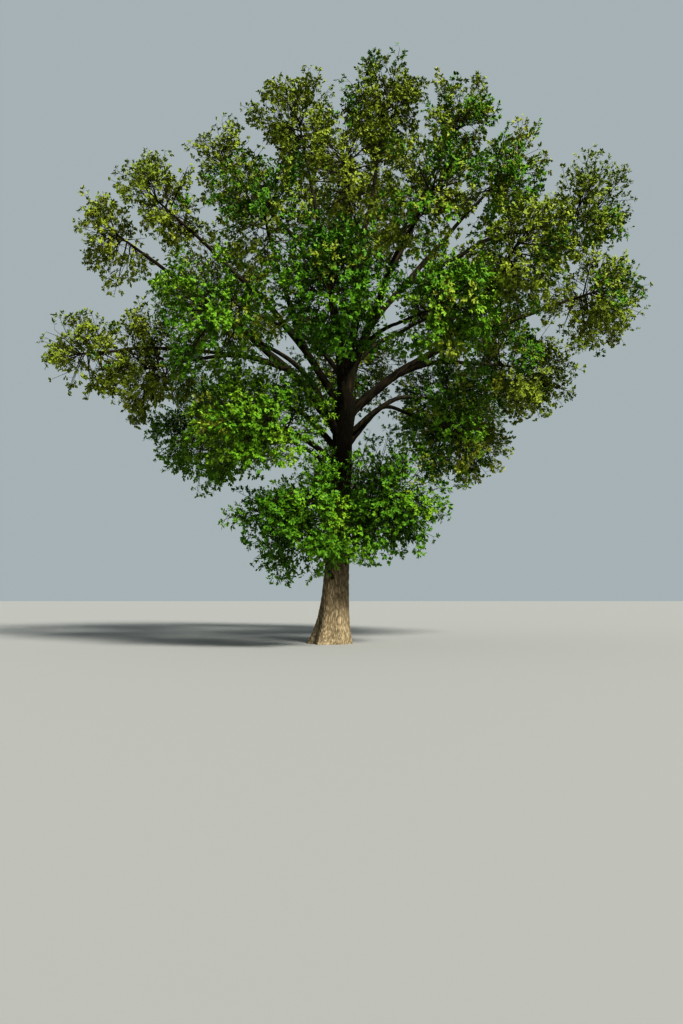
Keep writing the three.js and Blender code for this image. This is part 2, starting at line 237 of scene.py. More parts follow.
# A leaf's lobed outline from its stalk round to its stalk, along the leaf and across it, as shares of its length. The
# fourth place is its tip, and the third is the notch between two lobes.
LEAF_OUTLINE = ((0, 0), (0.46, 0.32), (0.62, 0.12), (1, 0.04), (0.6, -0.34))
LEAF_FACES = ((0, 2, 1), (0, 4, 2), (2, 4, 3))

# Colours of the leaves from dark to pale, on the outer crown and on the fresher lower branches
OLIVE_LEAVES = ((91, 105, 30), (109, 122, 37), (122, 134, 45), (133, 140, 54))
FRESH_LEAVES = ((59, 94, 18), (74, 112, 23), (91, 127, 28), (107, 136, 36))
LEAF_GLOSS = {"Roughness": 0.6, "Specular IOR Level": 0.2}

# How sprays get their colours: the tone, which is a number in the lists above, and whether it is a fresh one
MIDDLE_TONE = 1.5
TONE_DRIFT = 1.6
TONE_DRIFT_SCALE = 0.35
TONE_JITTER = 0.6
MIDDLE_FRESH = 0.5
FRESH_DRIFT = 0.6
FRESH_DRIFT_SCALE = 0.45
FRESH_SHIFT = Vector((9, 9, 9))
FRESH_JITTER = 0.2


def unit(vectors):
    return vectors / np.linalg.norm(vectors, axis=-1, keepdims=True)


def reach_along(half, direction):
    """How far an ellipsoid of half sizes reaches from its middle in each direction."""
    return 1 / np.linalg.norm(direction / half, axis=-1)


def mass(name, lump_at, lump_half, root, fresh, sky):
    """A mass of foliage: the middle and the half sizes along X, Y and Z of the lump that it makes on the outside of
    the crown, where its wood leaves the tree, and from 0 to 1 how fresh its green is and how much sky shows between
    its leaves. The mass is wider than its lump, and spreads inward from there."""
    outward = unit(lump_at - CROWN_MIDDLE)
    inward = (FULLNESS - 1) * reach_along(np.array(lump_half), outward)
    half = np.array(lump_half) * FULLNESS
    own = {"name": name, "at": lump_at - outward * inward, "half": half, "outward": outward}
    return {**own, "fresh": fresh, "sky": sky, **root}


def on(limb, share, thick=None, arch=0):
    """A place on a limb: the mass whose bough it is, or the trunk, and the share of the way along it. thick is the
    radius of the bough that leaves there, and arch how far that bough rises above a straight line. Without them the
    mass grows straight from the trunk."""
    return {"on": limb, "share": share, "thick": thick, "arch": arch}


CROWN = [
    mass("left_tip_mid", (-8.0, 0.0, 14.8), (1.35, 2.1, 1.85), on("trunk", 0.8, 0.16, -0.6), 0.1, 0.8),
    mass("left_low", (-6.3, -1.6, 9.3), (1.8, 2.4, 1.9), on("left_tip_mid", 0.32, 0.12, 0.2), 0.2, 0.75),
    mass("left_tip_low", (-9.1, 0.0, 10.3), (1.45, 1.9, 1.35), on("left_low", 0.55, 0.07, 0.2), 0.05, 0.75),
    mass("left_high", (-6.45, -0.2, 16.0), (1.8, 2.1, 1.7), on("trunk", 0.9, 0.145, -0.2), 0.1, 0.65),
    mass("left_shoulder", (-3.8, 0.0, 17.4), (1.7, 2.1, 1.75), on("top_left", 0.45, 0.1, 0.1), 0.1, 0.8),
    mass("top_left", (-1.2, 0.1, 19.1), (2.0, 2.1, 1.8), on("trunk", 0.93, 0.165, -0.3), 0.1, 0.55),
    mass("top", (2.1, 0.4, 20.1), (1.9, 2.0, 1.9), on("trunk", 0.95, 0.185, 0.1), 0.15, 0.55),
    mass("top_right", (4.7, 0.2, 19.2), (1.6, 2.1, 1.9), on("trunk", 0.94, 0.175, -0.3), 0.25, 0.4),
    mass("right_shoulder", (6.6, 0.0, 17.3), (1.8, 2.1, 1.9), on("top_right", 0.3, 0.125, -0.3), 0.35, 0.55),
    mass("right_high", (9.45, 0.0, 15.6), (1.6, 2.2, 2.0), on("right_shoulder", 0.3, 0.095, 0.2), 0.2, 0.55),
    mass("right_tip", (9.75, 0.0, 12.6), (1.8, 2.4, 1.9), on("trunk", 0.88, 0.18, -0.3), 0.2, 0.55),
    mass("right_low", (7.1, 0.2, 9.8), (2.1, 2.4, 1.8), on("right_tip", 0.28, 0.12, 0.1), 0.2, 0.1),
    mass("low_right", (5.0, 1.8, 7.5), (2.0, 2.3, 1.8), on("trunk", 0.8, 0.1, 0.5), 0.7, 0.3),
    mass("front_right_high", (6.1, -4.0, 12.5), (1.9, 2.1, 1.8), on("right_tip", 0.5, 0.1, 0.2), 0.35, 0.55),
    mass("front_high", (3.2, -4.4, 14.2), (1.9, 2.1, 1.9), on("top_right", 0.28, 0.11, 0.3), 0.3, 0.7),
    mass("front_left_high", (-2.2, -4.6, 13.4), (2.0, 2.2, 1.8), on("left_high", 0.3, 0.11, 0.4), 0.5, 0.85),
    mass("front_left", (-3.7, -4.6, 10.1), (2.0, 2.1, 2.2), on("trunk", 0.78, 0.12, 0.4), 0.9, 0.7),
    mass("front", (0.1, -6.4, 10.3), (2.1, 2.1, 1.9), on("trunk", 0.87, 0.15, 0.7), 1, 0.4),
    mass("front_right", (3.3, -5.2, 10.2), (1.9, 2.0, 1.7), on("front", 0.3, 0.1, 0.2), 0.95, 0.5),
    mass("low_left", (-4.9, 1.0, 7.4), (2.0, 2.3, 2.1), on("trunk", 0.66, 0.12, 0.4), 0.95, 0.75),
    mass("low_front_left", (-2.0, -4.6, 6.3), (2.4, 2.1, 2.1), on("trunk", 0.5, 0.1, 0.4), 1, 0),
    mass("low_front", (-1.0, -3.7, 4.1), (2.3, 1.9, 2.2), on("trunk", 0.22), 1, 0),
    mass("low_front_right", (1.9, -1.6, 4.5), (1.9, 1.8, 2.0), on("trunk", 0.25), 1, 0),
    mass("front_top", (0.6, -2.8, 16.1), (1.9, 2.0, 2.0), on("top", 0.3, 0.1, 0.1), 0.35, 0.8),
    mass("back_low", (0.9, 4.6, 5.6), (2.4, 2.1, 2.0), on("trunk", 0.4), 0.9, 0.55),
    mass("back_left_low", (-4.4, 5.6, 9.4), (2.5, 2.4, 2.1), on("trunk", 0.7, 0.13, 0.4), 0.7, 0.55),
    mass("back_right_low", (5.4, 5.8, 9.8), (2.5, 2.4, 2.1), on("trunk", 0.74, 0.13, 0.4), 0.6, 0.3),
    mass("back", (0.6, 7.6, 12.0), (2.6, 2.2, 2.3), on("trunk", 0.89, 0.16, 0.3), 0.5, 0.55),
    mass("back_left", (-4.7, 4.5, 14.0), (2.5, 2.5, 2.3), on("back", 0.32, 0.115, 0.3), 0.3, 0.8),
    mass("back_right", (6.0, 4.7, 14.0), (2.5, 2.5, 2.3), on("back", 0.4, 0.115, 0.3), 0.3, 0.55),
    mass("back_high", (1.0, 4.4, 17.5), (2.9, 2.3, 2.2), on("top", 0.35, 0.11, 0.2), 0.2, 0.7),
]
for number, row in enumerate(CROWN):
    row["number"] = number
MIDDLES = np.array([row["at"] for row in CROWN])
MEAN_HALVES = np.cbrt([np.prod(row["half"]) for row in CROWN])
X_AXIS = np.array((1.0, 0, 0))
Z_AXIS = np.array((0, 0, 1.0))
NEARLY_UPRIGHT = 0.99


def mix(a, b, share):
    return a + (b - a) * share


def across_of(direction):
    """Two directions square to one another and to each direction."""
    other = np.where(np.abs(direction[..., 2:]) > NEARLY_UPRIGHT, X_AXIS, Z_AXIS)
    side = unit(np.cross(direction, other))
    return side, np.cross(side, direction)


def random_from(seed):
    """Numbers from 0 to 1, by the rule called mulberry32. They are the same each time for one seed, and the same as
    the CAD model's."""
    count = 1 << 32
    state = seed
    while True:
        state = (state + 0x6D2B79F5) % count
        t = (state ^ (state >> 15)) * (state | 1) % count
        t = (t + (t ^ (t >> 7)) * (t | 61) % count) % count ^ t
        yield (t ^ (t >> 14)) / count


# ---- camera, floor and light


def make_camera():
    data = bpy.data.cameras.new("camera")
    data.sensor_width = CAMERA_SENSOR
    data.lens = CAMERA_LENS
    data.clip_end = CAMERA_FAR
    camera = bpy.data.objects.new("camera", data)
    camera.location = CAMERA_PLACE
    camera.rotation_euler = (math.radians(90 + CAMERA_PITCH), 0, 0)
    bpy.context.scene.collection.objects.link(camera)
    bpy.context.scene.camera = camera


def make_light():
    """A soft sun, the pale glow of a clear sky, and how the picture takes them."""
    data = bpy.data.lights.new("sun", "SUN")
    data.energy = SUN_STRENGTH
    data.angle = math.radians(SUN_WIDTH)
    data.color = SUN_COLOUR
    sun = bpy.data.objects.new("sun", data)
    sun.rotation_mode = "QUATERNION"
    sun.rotation_quaternion = Vector(SUN_FROM).to_track_quat("Z", "Y")
    bpy.context.scene.collection.objects.link(sun)
    world = bpy.data.worlds.new("sky")
    world.use_nodes = True
    background = world.node_tree.nodes["Background"]
    background.inputs["Color"].default_value = SKY_COLOUR
    background.inputs["Strength"].default_value = SKY_STRENGTH
    bpy.context.scene.world = world
    bpy.context.scene.view_settings.view_transform = "Standard"
    bpy.context.scene.view_settings.look = "High Contrast"


def make_floor():
    mesh = bpy.data.meshes.new("floor")
    corners = [(x * FLOOR_REACH, y * FLOOR_REACH, 0) for x, y in ((-1, -1), (1, -1), (1, 1), (-1, 1))]
    mesh.from_pydata(corners, [], [(0, 1, 2, 3)])
    floor = bpy.data.objects.new("floor", mesh)
    bpy.context.scene.collection.objects.link(floor)
    mesh.materials.append(new_material("floor", {"Base Color": FLOOR_COLOUR, "Roughness": FLOOR_ROUGHNESS}))


# ---- materials


def linear(colour):
    """A colour of 0 to 255 as linear light, with alpha."""
    return tuple((c / 255 / 12.92 if c <= 10 else ((c / 255 + 0.055) / 1.055) ** 2.4) for c in colour) + (1,)


def new_material(name, values):
    """A material with values on its shader's own inputs."""
    material = bpy.data.materials.new(name)
    material.use_nodes = True
    shader = material.node_tree.nodes["Principled BSDF"]
    for key, value in values.items():
        shader.inputs[key].default_value = value
    return material


def add_node(tree, kind, inputs, **settings):
    """A node with its settings. What an input gets is a value, or the output of another node."""
    node = tree.nodes.new("ShaderNode" + kind)
    for key, value in settings.items():
        setattr(node, key, value)
    for key, value in inputs.items():
        if isinstance(value, bpy.types.NodeSocket):
            tree.links.new(value, node.inputs[key])
        else:
            node.inputs[key].default_value = value
    return node


def colour_ramp(tree, source, stops):
    ramp = add_node(tree, "ValToRGB", {"Fac": source})
    elements = ramp.color_ramp.elements
    while len(elements) < len(stops):
        elements.new(0.5)
    for element, (place, colour) in zip(elements, stops):
        element.position = place
        element.color = linear(colour)
    return ramp.outputs["Color"]


def map_range(tree, source, before, after=(0, 1)):
    """A number taken from the range before to the range after, and kept within it."""
    limits = dict(zip(("From Min", "From Max", "To Min", "To Max"), (*before, *after)))
    return add_node(tree, "MapRange", {"Value": source, **limits}).outputs["Result"]


def blend(tree, share, below, above, how="MIX"):
    """A colour with another one over it, by a share from 0 to 1."""
    inputs = {"Factor": share, "A": below, "B": above}
    return add_node(tree, "Mix", inputs, data_type="RGBA", blend_type=how).outputs["Result"]


def make_bark(name, furrow, ridge, worn, moss, moss_share, painted_shade_heights=None):
    """Bark that is dark in its furrows, paler on its ridges and palest where they are worn, with mossy patches and a
    fine grain. A trunk's bark may be given the two heights between which it turns darker, as painted shade of the
    crown."""
    material = new_material(name, BARK_GLOSS)
    tree = material.node_tree
    shader = tree.nodes["Principled BSDF"]
    place = add_node(tree, "TexCoord", {}).outputs["Object"]
    relief = add_node(tree, "Attribute", {}, attribute_name="relief").outputs["Fac"]
    flank = mix(np.array(furrow), np.array(ridge), FLANK_SHARE)
    colour = colour_ramp(tree, relief, ((0, furrow), (FLANK_RELIEF, flank), (RIDGE_RELIEF, ridge), (1, worn)))
    patches = add_node(tree, "TexNoise", {"Vector": place, **MOSS_PATCHES}).outputs["Fac"]
    colour = blend(tree, map_range(tree, patches, MOSS_RANGE, (0, moss_share)), colour, linear(moss))
    grain = add_node(tree, "TexNoise", {"Vector": place, **GRAIN}).outputs["Fac"]
    colour = blend(tree, 1, colour, map_range(tree, grain, GRAIN_RANGE, GRAIN_SHADES), "MULTIPLY")
    # Painted shade: the bark darkens up the trunk, toward the crown's shade.
    if painted_shade_heights:
        height = add_node(tree, "SeparateXYZ", {"Vector": place}).outputs["Z"]
        colour = blend(tree, map_range(tree, height, painted_shade_heights), colour, linear(PAINTED_SHADE_TINT), "MULTIPLY")
    tree.links.new(colour, shader.inputs["Base Color"])
    bump = add_node(tree, "Bump", {"Height": grain, **GRAIN_BUMP}).outputs["Normal"]
    tree.links.new(bump, shader.inputs["Normal"])
    return material


# ---- meshes from arrays


def add_piece(name, places, triangles, materials, replaced, material_numbers=None, relief=None):
    """A mesh from arrays that rides with the tree and stands for a CAD node."""
    mesh = bpy.data.meshes.new(name)
    mesh.vertices.add(len(places))
    mesh.vertices.foreach_set("co", places.astype(np.float32).ravel())
    mesh.loops.add(triangles.size)
    mesh.loops.foreach_set("vertex_index", triangles.astype(np.int32).ravel())
    mesh.polygons.add(len(triangles))
    mesh.polygons.foreach_set("loop_start", np.arange(0, triangles.size, 3, dtype=np.int32))
    mesh.polygons.foreach_set("use_smooth", np.full(len(triangles), True))
    for material in materials:
        mesh.materials.append(material)
    if material_numbers is not None:
        mesh.polygons.foreach_set("material_index", material_numbers.astype(np.int32))
    if relief is not None:
        mesh.attributes.new("relief", "FLOAT", "POINT").data.foreach_set("value", relief.astype(np.float32))
    mesh.update(calc_edges=True)
    mesh.validate()
    piece = bpy.data.objects.new(name, mesh)
    bpy.context.scene.collection.objects.link(piece)
    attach(piece, "root")
    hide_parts(replaced)


def grid_triangles(rows, sides):
    """Triangles of a tube of rows rings of sides places each."""
    row, side = np.meshgrid(np.arange(rows - 1), np.arange(sides), indexing="ij")
    here = row * sides + side
    beside = row * sides + (side + 1) % sides
    lower = np.stack((here, beside, beside + sides), -1)
    upper = np.stack((here, beside + sides, here + sides), -1)
    return np.concatenate((lower.reshape(-1, 3), upper.reshape(-1, 3)))


def closed_tube(rings):
    """A tube through rings of places, closed at both ends by a place in the middle."""
    rows, sides, _ = rings.shape
    places = np.concatenate((rings.reshape(-1, 3), rings[:1].mean(1), rings[-1:].mean(1)))
    side = np.arange(sides)
    beside = (side + 1) % sides
    last = (rows - 1) * sides
    first_cap = np.stack((np.full(sides, rows * sides), beside, side), -1)
    last_cap = np.stack((np.full(sides, rows * sides + 1), last + side, last + beside), -1)
    return places, np.concatenate((grid_triangles(rows, sides), first_cap, last_cap))


def circle(sides):
    """Angles of places round a limb."""
    return np.linspace(0, 2 * np.pi, sides, endpoint=False)


def rim_of(side, lift, angle):
    """The ways out from each limb at each angle round it."""
    return side[:, None] * np.cos(angle)[..., None] + lift[:, None] * np.sin(angle)[..., None]


def many_tubes(lines, radii, sides):
    """Tubes along lines, which is an array of (tube, place along it, xyz), with radii for each place. A tube whose
    last radius is 0 ends in one point."""
    count, rows, _ = lines.shape
    side, lift = across_of(unit(lines[:, -1] - lines[:, 0]))
    rings = lines[:, :, None] + rim_of(side, lift, circle(sides))[:, None] * radii[..., None, None]
    if np.any(radii[:, -1]):
        faces = grid_triangles(rows, sides)
        each = rows * sides
        places = rings.reshape(-1, 3)
    else:
        each = (rows - 1) * sides + 1
        last = (rows - 2) * sides
        number = np.arange(sides)
        point = np.stack((last + number, last + (number + 1) % sides, np.full(sides, each - 1)), -1)
        faces = np.concatenate((grid_triangles(rows - 1, sides), point))
        places = np.concatenate((rings[:, :-1].reshape(count, -1, 3), lines[:, -1:]), 1).reshape(-1, 3)
    return places, (faces + each * np.arange(count)[:, None, None]).reshape(-1, 3)


def joined(parts):
    """Several (places, triangles) as one."""
    shift, places, triangles = 0, [], []
    for some_places, some_triangles in parts:
        places.append(some_places)
        triangles.append(some_triangles + shift)
        shift += len(some_places)
    return np.concatenate(places), np.concatenate(triangles)


# ---- trunk and boughs


def bark_relief(places, along, width):
    """How high the bark stands at each place of a limb, from 0 in a furrow to 1 on a plate. places are round the
    limb's own axis, and along is the way along it."""
    heights = []
    for (x, y), length in zip(places, along):
        spot = Vector((x, y, length / PLATE_STRETCH)) / width
        spot += BARK_WARP * noise.noise_vector(spot * BARK_WARP_SCALE)
        near, next_near = noise.voronoi(spot)[0][:2]
        plate = min(1, (next_near - near) / FURROW_SHARE)
        uneven = 1 + PLATE_UNEVENNESS * noise.noise(spot * PLATE_UNEVENNESS_SCALE)
        heights.append(plate * (3 - 2 * plate) * plate * uneven / PLATE_TOP)
    return np.clip(heights, 0, 1)


def round_axis(radius, angle):
    """Places round a limb's own axis, for its relief."""
    return np.stack((radius * np.cos(angle), radius * np.sin(angle)), -1).reshape(-1, 2)


def trunk_x(height):
    return TRUNK_FOOT_X + TRUNK_LEAN * height


def trunk_radius(height, angle):
    """Radius of the trunk at a height and an angle round it. The roots flare out as lobes, most to the left, and
    the trunk swells at the fork and closes above it."""
    lobe = 1 + ROOT_LOBE_SHARE * np.cos(ROOT_LOBES * angle + ROOT_LOBE_TURN)
    flare = (FLARE_REACH - FLARE_TO_LEFT * np.cos(angle)) * lobe * np.exp(-height / FLARE_HEIGHT)
    swell = FORK_SWELL * np.exp(-(((height - FORK_HEIGHT) / FORK_SWELL_HEIGHT) ** 2))
    closing = np.maximum(0, (height - (TRUNK_HEIGHT - CROTCH_HEIGHT)) / CROTCH_HEIGHT)
    return (TRUNK_RADIUS - TRUNK_TAPER * height + flare + swell) * np.sqrt(1 - CROTCH_CLOSING * closing**2)


def make_trunk(bark):
    share = np.linspace(0, 1, TRUNK_STEPS + 1)
    height, angle = np.meshgrid(TRUNK_HEIGHT * share**RING_CROWDING, circle(TRUNK_SIDES), indexing="ij")
    radius = trunk_radius(height, angle)
    relief = bark_relief(round_axis(radius, angle), height.ravel(), PLATE_WIDTH).reshape(height.shape)
    radius = radius - FURROW_DEPTH * (1 - relief)
    rings = np.stack((trunk_x(height) + radius * np.cos(angle), radius * np.sin(angle), height), -1)
    places, triangles = closed_tube(rings)
    add_piece("trunk_bark", places, triangles, [bark], "trunk", relief=np.append(relief, END_RELIEF))


class Line:
    """A limb's middle line through many places, read by the share of its length."""

    def __init__(self, places):
        self.places = places
        steps = np.linalg.norm(np.diff(places, axis=0), axis=1)
        self.shares = np.append(0, np.cumsum(steps)) / steps.sum()
        self.length = steps.sum()

    def at(self, share):
        return np.stack([np.interp(share, self.shares, self.places[:, axis]) for axis in range(3)], -1)

    def heading(self, share):
        return unit(self.at(min(1, share + HEADING_STEP)) - self.at(max(0, share - HEADING_STEP)))


TRUNK_LINE = Line(np.array([(trunk_x(h), 0, h) for h in (0, TRUNK_HEIGHT)]))


def bough_line(row, parent):
    """The middle line of a row's bough, from its parent's to where it enters its mass, and how it heads there."""
    root = parent.at(row["share"])
    straight = row["at"] - root
    distance = np.linalg.norm(straight)
    leave = unit(mix(unit(straight), parent.heading(row["share"]), LEAVING_TURN))
    knee = root + leave * distance * LEAVING_LENGTH + Z_AXIS * row["arch"]
    heading = unit(row["at"] - knee)
    tip = row["at"] - heading * ENTRY_SHARE * reach_along(row["half"], heading)
    turn = tip - heading * distance * ARRIVING_LENGTH
    t = np.linspace(0, 1, LINE_PLACES)[:, None]
    curve = (1 - t) ** 3 * root + 3 * (1 - t) ** 2 * t * knee + 3 * (1 - t) * t**2 * turn + t**3 * tip
    return Line(curve), heading


def crooked(line, shift, seed):
    """The line with a limb's slow bends. Its tip stays, and its root moves by shift, as its parent did there."""
    places = []
    for place, share in zip(line.places, line.shares):
        bend = noise.noise_vector(Vector((seed * CROOKS_APART, share * line.length / CROOK_LENGTH, 0)))
        free = math.sin(math.pi * share) ** CROOK_FULLNESS
        places.append(place + shift * (1 - share) ** 2 + np.array(bend) * CROOK * free)
    return Line(np.array(places))


def bough_radius(row, share):
    collar = COLLAR_SHARE * row["thick"] * np.exp(-share / COLLAR_LENGTH) if row["on"] == "trunk" else 0
    return mix(row["thick"], BOUGH_TIP_RADIUS, share**BOUGH_TAPER) + collar


def make_bough(row, line, bark):
    share = np.linspace(0, 1, BOUGH_STEPS + 1)
    middle = line.at(share)
    heading = unit(np.gradient(middle, axis=0))
    side, lift = across_of(heading)
    angle = circle(BOUGH_SIDES)
    radius = np.repeat(bough_radius(row, share)[:, None], BOUGH_SIDES, 1)
    trunk_share = row["thick"] / TRUNK_RADIUS
    along = np.repeat(share * line.length, BOUGH_SIDES) + row["number"]
    plate_width = PLATE_WIDTH * (LEAST_PLATE_SHARE + trunk_share)
    relief = bark_relief(round_axis(radius, angle), along, plate_width).reshape(radius.shape)
    radius = radius - FURROW_DEPTH * (LEAST_FURROW_SHARE + trunk_share) * (1 - relief) * radius / row["thick"]
    places, triangles = closed_tube(middle[:, None] + rim_of(side, lift, angle) * radius[..., None])
    name = row["name"]
    add_piece(
        "limb_" + name, places, triangles, [bark], "bough_" + name, relief=np.append(relief, END_RELIEF)
    )


def grow_boughs(bark):
    """All boughs, a parent before those that leave it. Returns each one's tip and heading, and places along every
    limb with its radius there, for leaves to keep clear of."""
    lines, tips, straight_lines = {"trunk": TRUNK_LINE}, {}, {"trunk": TRUNK_LINE}
    waiting = [row for row in CROWN if row["thick"]]
    share = np.linspace(0, 1, CLEARED_PLACES)
    limbs = [np.column_stack((TRUNK_LINE.at(share), trunk_radius(share * TRUNK_HEIGHT, 0)))]
    while waiting:
        row = next(row for row in waiting if row["on"] in lines)
        waiting.remove(row)
        straight_parent = straight_lines[row["on"]]
        line, heading = bough_line(row, straight_parent)
        shift = lines[row["on"]].at(row["share"]) - straight_parent.at(row["share"])
        straight_lines[row["name"]] = line
        lines[row["name"]] = crooked(line, shift, row["number"] + 1)
        tips[row["name"]] = (line.places[-1], heading)
        make_bough(row, lines[row["name"]], bark)
        limbs.append(np.column_stack((lines[row["name"]].at(share), bough_radius(row, share))))
    return tips, np.concatenate(limbs)


# ---- foliage


def in_space(row, places, ease=SPACE_EASE):
    """Whether each place lies in a mass's own space: inside its ellipsoid, on its own side of the plane between it
    and each other mass, and no farther past the CAD box than allowed."""
    power = ((places[..., None, :] - MIDDLES) ** 2).sum(-1) - MEAN_HALVES**2
    margin = 2 * SPACE_MARGIN * np.linalg.norm(MIDDLES - row["at"], axis=1)
    nearer = power[..., row["number"], None] + margin < power
    nearer[..., row["number"]] = True
    out = np.linalg.norm((places - row["at"]) / row["half"], axis=-1)
    low, high = (np.array(corner) for corner in CAD_BOX)
    boxed = np.all((places > low - BOX_EASE) & (places < high + BOX_EASE), axis=-1)
    return (out < ease) & nearer.all(-1) & boxed


def leafy(row, places):
    """Whether each place has leaves: inside the mass's uneven outline and outside the gaps that show sky."""
    wave = np.array([noise.noise(Vector(place) / WAVE_LENGTH) for place in places])
    gap = np.array([noise.noise(Vector(place) / GAP_LENGTH + GAP_SHIFT) for place in places])
    ease = 1 + mix(*OUTLINE_WAVES, row["sky"]) * np.minimum(0, wave)
    return in_space(row, places, ease) & (gap > mix(*GAPS_BELOW, row["sky"]))


def twig_face(direction, number):
    """The way that one of a twig's sides faces."""
    side, lift = across_of(direction)
    angle = 2 * math.pi * number / TWIG_FACES
    return side * math.cos(angle) + lift * math.sin(angle)


def grow_sprays(row, root, heading):
    """The stem's end, the twigs as (start, end), and the sprays as (root, direction, fan, length) of a mass. The
    first twigs are the CAD model's, and finer ones stand between them."""
    random = random_from(1 + row["number"])
    lead = unit(heading + LEAD_OUTWARD * row["outward"])
    side, lift = across_of(lead)
    stem_end = row["at"] + heading * STEM_BEYOND_MIDDLE * reach_along(row["half"], heading)
    mean_half = np.cbrt(np.prod(row["half"]))
    twigs, sprays = [], []

    def grow_side_spray(start, direction, first, spray_length):
        for size in FITTING_SIZES:
            for turn in range(TWIG_FACES):
                out = twig_face(direction, first + turn)
                blade = unit(direction + out * SPRAY_SPREAD)
                if in_space(row, start + blade * spray_length * size):
                    sprays.append((start, blade, out, spray_length * size))
                    return

    def grow_twig(start, outside, first, spray_length):
        direction = unit(outside - start)
        for size in FITTING_SIZES:
            length = max(np.linalg.norm(outside - start) * size - spray_length, SHORTEST_TWIG)
            end = start + direction * length
            if not in_space(row, end + direction * spray_length):
                continue
            twigs.append((start, end))
            sprays.append((end, direction, twig_face(direction, first), spray_length))
            for order, share in enumerate(SIDE_SPRAYS):
                grow_side_spray(mix(start, end, share), direction, first + order + 1, spray_length)
            return

    def grow_round(count, offset, backward_most, spray_share):
        for i in range(count):
            along = (i + offset) / (count - 1 + 2 * offset)
            forward = mix(FORWARD_MOST, backward_most, along)
            round_stem = (i + offset) * GOLDEN_ANGLE + ROUND_WANDER * next(random)
            out = math.sqrt(1 - forward**2)
            aim = lead * forward + out * (side * math.cos(round_stem) + lift * math.sin(round_stem))
            start = mix(root, stem_end, mix(TWIG_FIRST_ROOT, TWIG_LAST_ROOT, along))
            outside = row["at"] + aim * FULL_REACH * reach_along(row["half"], aim)
            grow_twig(start, outside, math.floor(TWIG_FACES * next(random)), spray_share * mean_half)

    grow_round(TWIGS, 0, BACKWARD_MOST, SPRAY_SHARE)
    grow_round(FINER_TWIGS, FINER_OFFSET, FINER_BACKWARD_MOST, FINER_SPRAY_SHARE)
    return stem_end, twigs, sprays


def grow_shoots(sprays, random):
    """Shoots that fill each spray's own space, as their starts, their ends and the number of the spray of each."""
    root, direction, fan, length = sprays
    fold = unit(np.cross(direction, fan))
    wide = np.cross(fold, direction)
    number = np.arange(SHOOTS)
    along = np.broadcast_to(number / (SHOOTS - 1), (len(root), SHOOTS))
    forward = mix(FORWARD_MOST, BACKWARD_MOST, along)
    round_twig = number * GOLDEN_ANGLE + random.uniform(0, 2 * np.pi, (len(root), 1))
    out = np.sqrt(1 - forward**2)
    reach = random.uniform(*SHOOT_REACH, along.shape)
    local = np.stack(
        (
            0.5 + 0.5 * forward * reach,
            0.5 * SPRAY_WIDTH * out * np.cos(round_twig) * reach,
            0.5 * SPRAY_DEPTH * out * np.sin(round_twig) * reach,
        ),
        -1,
    ) * length[:, None, None]
    axes = np.stack((direction, wide, fold), 1)
    end = root[:, None] + np.einsum("nsk,nkj->nsj", local, axes)
    start_length = mix(*SHOOT_ROOTS, along) * length[:, None]
    start = root[:, None] + direction[:, None] * start_length[..., None]
    spray_number = np.broadcast_to(np.arange(len(root))[:, None], along.shape)
    kept = random.uniform(size=along.shape) < (length[:, None] / FULL_SPRAY) ** 2
    return start[kept], end[kept], spray_number[kept]


def grow_leaves(row, start, end, middle, random):
    """Leaves round the outer part of each shoot, as their places along the shoot, directions, normals and lengths.
    They face up and away from the middles of their spray and their mass."""
    direction = unit(end - start)
    side, lift = across_of(direction)
    number = np.arange(LEAVES)
    angle = number * GOLDEN_ANGLE + random.uniform(0, 2 * np.pi, (len(start), 1))
    out = rim_of(side, lift, angle)
    spread = mix(*LEAF_SPREAD, number / (LEAVES - 1))[:, None]
    share = (1 - LEAFY_SHARE * number / LEAVES)[:, None]
    base = mix(start[:, None], end[:, None], share)
    blade = unit(direction[:, None] + out * spread + BLADE_JITTER * random.normal(size=base.shape))
    facing = unit(
        LEAF_OFF_SPRAY * unit(base - middle[:, None]) + LEAF_OUTWARD * unit(base - row["at"])
        + LEAF_UPWARD * Z_AXIS + LEAF_JITTER * random.normal(size=base.shape)
    )
    normal = unit(facing - (facing * blade).sum(-1, keepdims=True) * blade)
    length = LEAF_LENGTH * random.uniform(*LEAF_SIZES, (len(start), LEAVES))
    return base.reshape(-1, 3), blade.reshape(-1, 3), normal.reshape(-1, 3), length.ravel()


def clear_of_limbs(places, limbs, box_low, box_high):
    """Whether each place is outside the wood of the trunk and the boughs."""
    middle = limbs[:, :3]
    near = limbs[np.all((middle > box_low - LIMBS_NEAR) & (middle < box_high + LIMBS_NEAR), axis=1)]
    clear = np.ones(len(places), bool)
    for x, y, z, radius in near:
        clear &= ((places - (x, y, z)) ** 2).sum(1) > (radius + LIMB_GAP) ** 2
    return clear


def leaf_mesh(base, blade, normal, length):
    """Leaves in their lobed outline, each of a few triangles, that curl down to their tips. Every other one is the
    mirror image of the rest."""
    along, across = np.array(LEAF_OUTLINE).T
    faces = np.array(LEAF_FACES)
    mirror = np.where(np.arange(len(base)) % 2, 1, -1)[:, None]
    wide = np.cross(normal, blade) * mirror
    lift = -LEAF_CURL * along**2
    places = base[:, None] + length[:, None, None] * (
        blade[:, None] * along[:, None] + wide[:, None] * across[:, None] + normal[:, None] * lift[:, None]
    )
    triangles = faces + len(along) * np.arange(len(base))[:, None, None]
    return places.reshape(-1, 3), triangles.reshape(-1, 3)


